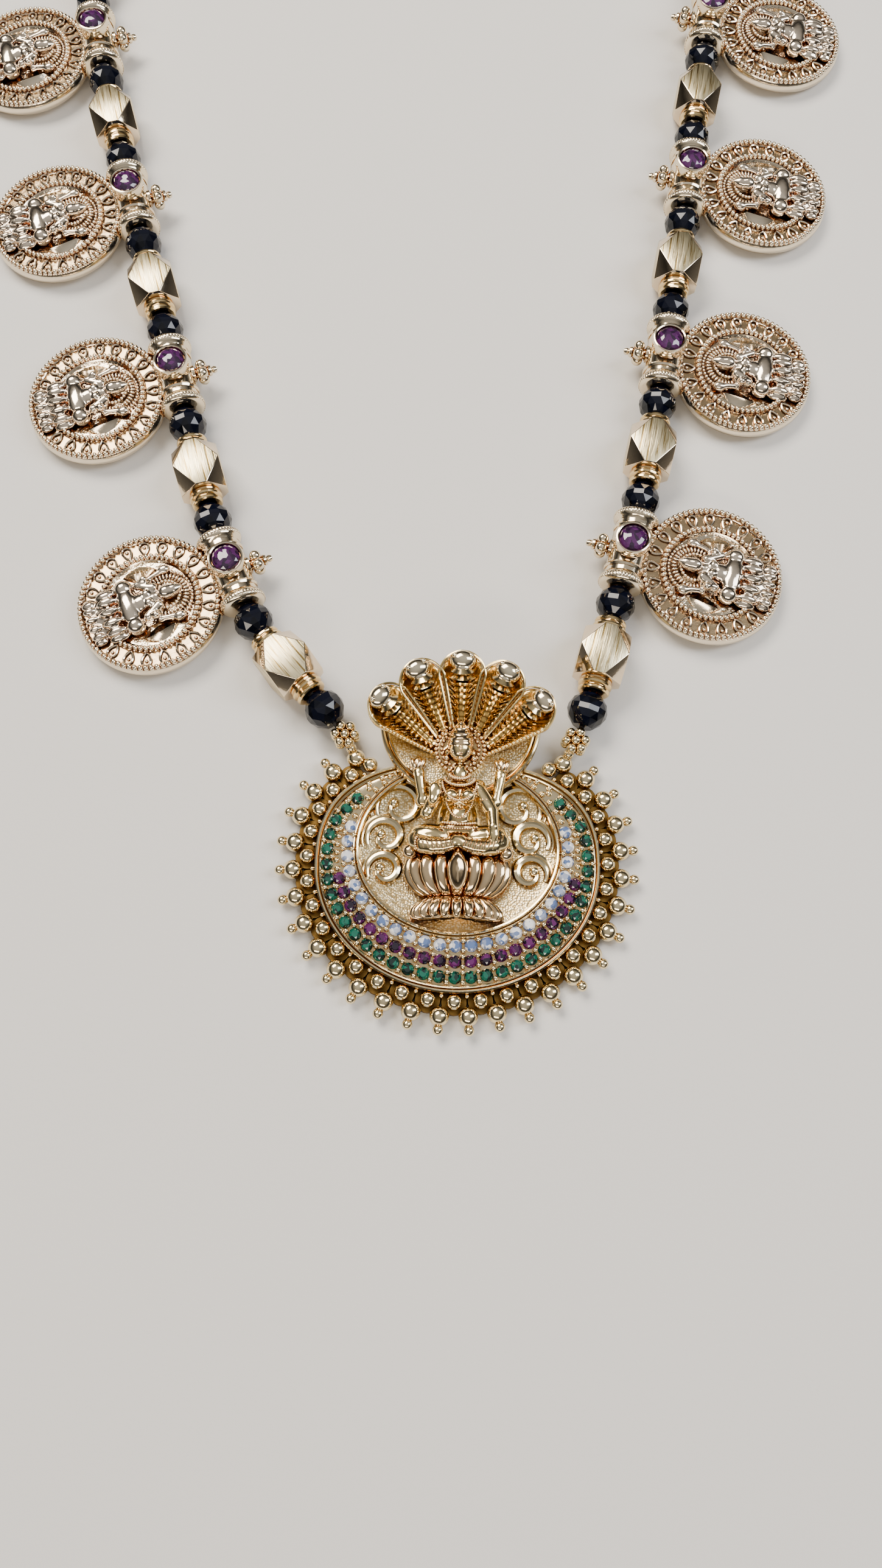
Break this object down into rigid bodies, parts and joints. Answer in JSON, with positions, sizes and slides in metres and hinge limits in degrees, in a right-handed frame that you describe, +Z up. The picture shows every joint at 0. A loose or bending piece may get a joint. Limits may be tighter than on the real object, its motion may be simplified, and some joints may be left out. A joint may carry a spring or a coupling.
{
  "type": "temple jewellery necklace",
  "caption": "Necklace laid flat: a jewelled oval pendant with a seated figure under a hooded canopy, on a loop of black and faceted gold beads with coin links.",
  "frame": {"origin": "on the surface that the necklace lies on, under the middle of its outline seen from above", "axes": "+Z up from the surface, +Y from the pendant towards the clasp at the back of the neck, +X to the right seen from above with the pendant nearest"},
  "size_m": [0.1668, 0.2876, 0.0112],
  "materials": {
    "gold_plated_brass": "polished plating",
    "black_crystal": "cut and polished",
    "purple_stone": "cut and polished",
    "green_stone": "cut and polished",
    "white_stone": "cut and polished",
    "thread": "waxed cord"
  },
  "bodies": {
    "root": {"pendant_frame": "gold_plated_brass", "figure_casting": "gold_plated_brass", "clasp": "gold_plated_brass", "coin_link_left_1": "gold_plated_brass", "coin_link_left_2": "gold_plated_brass", "coin_link_left_3": "gold_plated_brass", "coin_link_left_4": "gold_plated_brass", "link_stone_left_1": "purple_stone", "link_stone_left_2": "purple_stone", "link_stone_left_3": "purple_stone", "link_stone_left_4": "purple_stone", "gold_bead_left_1": "gold_plated_brass", "gold_bead_left_2": "gold_plated_brass", "gold_bead_left_3": "gold_plated_brass", "gold_bead_left_4": "gold_plated_brass", "black_bead_left_1": "black_crystal", "black_bead_left_2": "black_crystal", "black_bead_left_3": "black_crystal", "black_bead_left_4": "black_crystal", "black_bead_left_5": "black_crystal", "black_bead_left_6": "black_crystal", "black_bead_left_7": "black_crystal", "black_bead_left_8": "black_crystal", "black_bead_left_9": "black_crystal", "back_string_left": "gold_plated_brass", "thread_left": "thread", "coin_link_right_1": "gold_plated_brass", "coin_link_right_2": "gold_plated_brass", "coin_link_right_3": "gold_plated_brass", "coin_link_right_4": "gold_plated_brass", "link_stone_right_1": "purple_stone", "link_stone_right_2": "purple_stone", "link_stone_right_3": "purple_stone", "link_stone_right_4": "purple_stone", "gold_bead_right_1": "gold_plated_brass", "gold_bead_right_2": "gold_plated_brass", "gold_bead_right_3": "gold_plated_brass", "gold_bead_right_4": "gold_plated_brass", "black_bead_right_1": "black_crystal", "black_bead_right_2": "black_crystal", "black_bead_right_3": "black_crystal", "black_bead_right_4": "black_crystal", "black_bead_right_5": "black_crystal", "black_bead_right_6": "black_crystal", "black_bead_right_7": "black_crystal", "black_bead_right_8": "black_crystal", "black_bead_right_9": "black_crystal", "back_string_right": "gold_plated_brass", "thread_right": "thread"}
  },
  "joints": []
}
